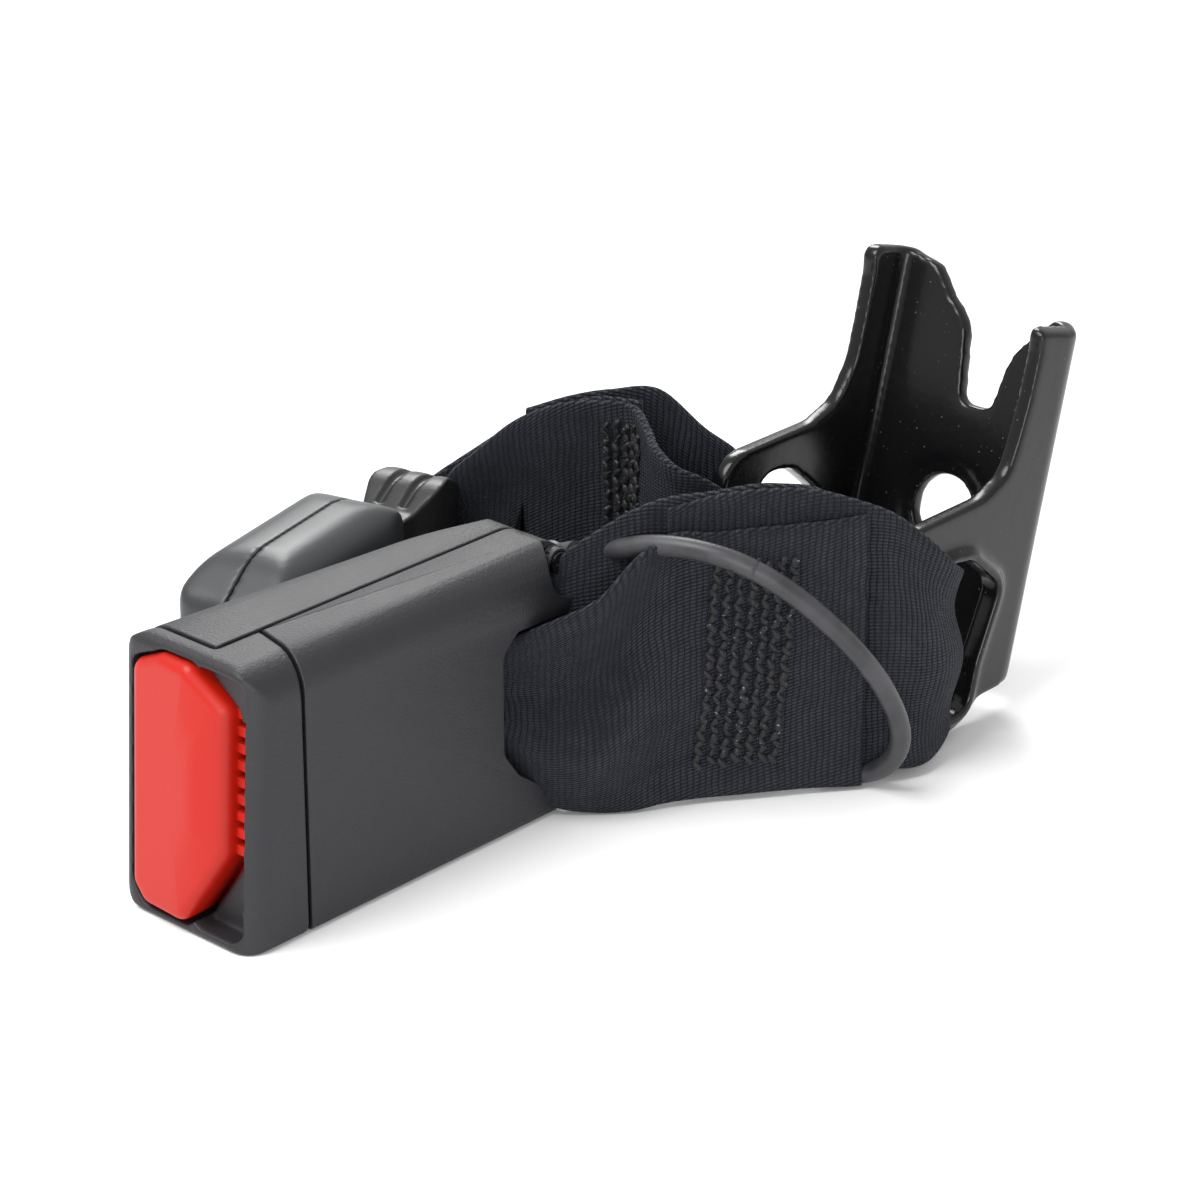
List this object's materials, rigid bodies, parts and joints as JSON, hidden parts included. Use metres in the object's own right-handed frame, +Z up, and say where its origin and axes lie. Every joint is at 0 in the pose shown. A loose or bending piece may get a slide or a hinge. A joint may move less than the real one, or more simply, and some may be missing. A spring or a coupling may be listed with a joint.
{
  "type": "seat belt buckle",
  "caption": "Rear-bench seat belt anchor: a stamped steel bracket with stitched webbing straps, each ending in a press-button belt buckle.",
  "frame": {"origin": "centre of the anchor bolt hole, on the bracket's seat face; the floor that the assembly lies on is 27.5 mm below it", "axes": "+Z up; +X from the buckles' buttons towards the bracket's web; the bracket's two wings stand either side of Y = 0"},
  "size_m": [0.1642, 0.0991, 0.0698],
  "materials": {
    "bracket_paint": "black dip paint, semi-gloss",
    "webbing": "woven polyester, dark navy black",
    "housing": "fine spark-eroded texture",
    "housing_smooth": "smooth satin",
    "button_red": "satin",
    "steel": "zinc plated",
    "inner_plastic": "natural acetal",
    "spring_steel": "oiled",
    "screw_black": "black zinc",
    "cable_jacket": "satin",
    "boot": "satin"
  },
  "bodies": {
    "bracket": {"bracket": "bracket_paint", "front_webbing_eye": "webbing", "rear_webbing_eye": "webbing", "front_cable": "cable_jacket", "front_cable_coil": "cable_jacket", "front_cable_plug": "inner_plastic"},
    "front_strap": {"front_webbing": "webbing"},
    "front_buckle": {"front_bezel": "housing", "front_cover": "housing", "front_shell": "housing", "front_cover_screw": "screw_black", "front_cable_gland": "cable_jacket", "front_frame": "steel", "front_webbing_pin": "steel", "front_switch": "inner_plastic", "front_button_springs": "spring_steel", "front_ejector_spring": "spring_steel"},
    "front_button": {"front_button": "button_red"},
    "front_lock_slide": {"front_lock_slide": "inner_plastic"},
    "front_latch": {"front_latch": "steel"},
    "front_ejector": {"front_ejector": "inner_plastic"},
    "rear_strap": {"rear_webbing": "webbing"},
    "rear_buckle": {"rear_cover": "housing_smooth", "rear_shell": "housing_smooth", "rear_boot": "boot", "rear_frame": "steel", "rear_webbing_pin": "steel", "rear_button_springs": "spring_steel", "rear_ejector_spring": "spring_steel"},
    "rear_button": {"rear_button": "button_red"},
    "rear_lock_slide": {"rear_lock_slide": "inner_plastic"},
    "rear_latch": {"rear_latch": "steel"},
    "rear_ejector": {"rear_ejector": "inner_plastic"}
  },
  "joints": [
    {"name": "front_strap_swing", "type": "hinge", "parent": "bracket", "child": "front_strap", "pos_m": [-0.051, -0.0165, 0], "axis": [0, 0, 1], "range_deg": [0, 35], "deforming": ["front_cable"]},
    {"name": "front_buckle_swing", "type": "hinge", "parent": "front_strap", "child": "front_buckle", "pos_m": [-0.0965, 0.0173, 0], "axis": [0, 0, 1], "range_deg": [-3, 10], "deforming": ["front_cable"]},
    {"name": "front_button_press", "type": "slide", "parent": "front_buckle", "child": "front_button", "axis": [1, 0, 0], "range_m": [0, 0.005], "stiffness_N_per_m": 900, "springref_m": -0.004, "deforming": ["front_button_springs"]},
    {"name": "front_lock_release", "type": "slide", "parent": "front_buckle", "child": "front_lock_slide", "axis": [1, 0, 0], "range_m": [0, 0.005]},
    {"name": "front_ejector_push", "type": "slide", "parent": "front_buckle", "child": "front_ejector", "axis": [1, 0, 0], "range_m": [0, 0.008], "stiffness_N_per_m": 400, "springref_m": -0.004, "deforming": ["front_ejector_spring"]},
    {"name": "front_latch_drop", "type": "hinge", "parent": "front_buckle", "child": "front_latch", "pos_m": [-0.1105, 0.0168, 0], "axis": [0, 0, 1], "range_deg": [0, 8]},
    {"name": "rear_strap_swing", "type": "hinge", "parent": "bracket", "child": "rear_strap", "pos_m": [-0.036, 0.033, 0], "axis": [0, 0, 1], "range_deg": [-25, 0]},
    {"name": "rear_buckle_swing", "type": "hinge", "parent": "rear_strap", "child": "rear_buckle", "pos_m": [-0.08139, 0.05899, 0], "axis": [0, 0, 1], "range_deg": [-3, 2]},
    {"name": "rear_button_press", "type": "slide", "parent": "rear_buckle", "child": "rear_button", "axis": [0.9703, 0.2419, 0], "range_m": [0, 0.004], "stiffness_N_per_m": 900, "springref_m": -0.003, "deforming": ["rear_button_springs"]},
    {"name": "rear_lock_release", "type": "slide", "parent": "rear_buckle", "child": "rear_lock_slide", "axis": [0.9703, 0.2419, 0], "range_m": [0, 0.004]},
    {"name": "rear_ejector_push", "type": "slide", "parent": "rear_buckle", "child": "rear_ejector", "axis": [0.9703, 0.2419, 0], "range_m": [0, 0.005], "stiffness_N_per_m": 400, "springref_m": -0.003, "deforming": ["rear_ejector_spring"]},
    {"name": "rear_latch_drop", "type": "hinge", "parent": "rear_buckle", "child": "rear_latch", "pos_m": [-0.08964, 0.05488, 0], "axis": [0, 0, 1], "range_deg": [0, 10.5]}
  ],
  "couplings": [
    {"joint": "front_lock_release", "follows": "front_button_press", "ratio": 1},
    {"joint": "front_latch_drop", "follows": "front_ejector_push", "rad_per_m": 17.436},
    {"joint": "rear_lock_release", "follows": "rear_button_press", "ratio": 1},
    {"joint": "rear_latch_drop", "follows": "rear_ejector_push", "rad_per_m": 36.615}
  ]
}
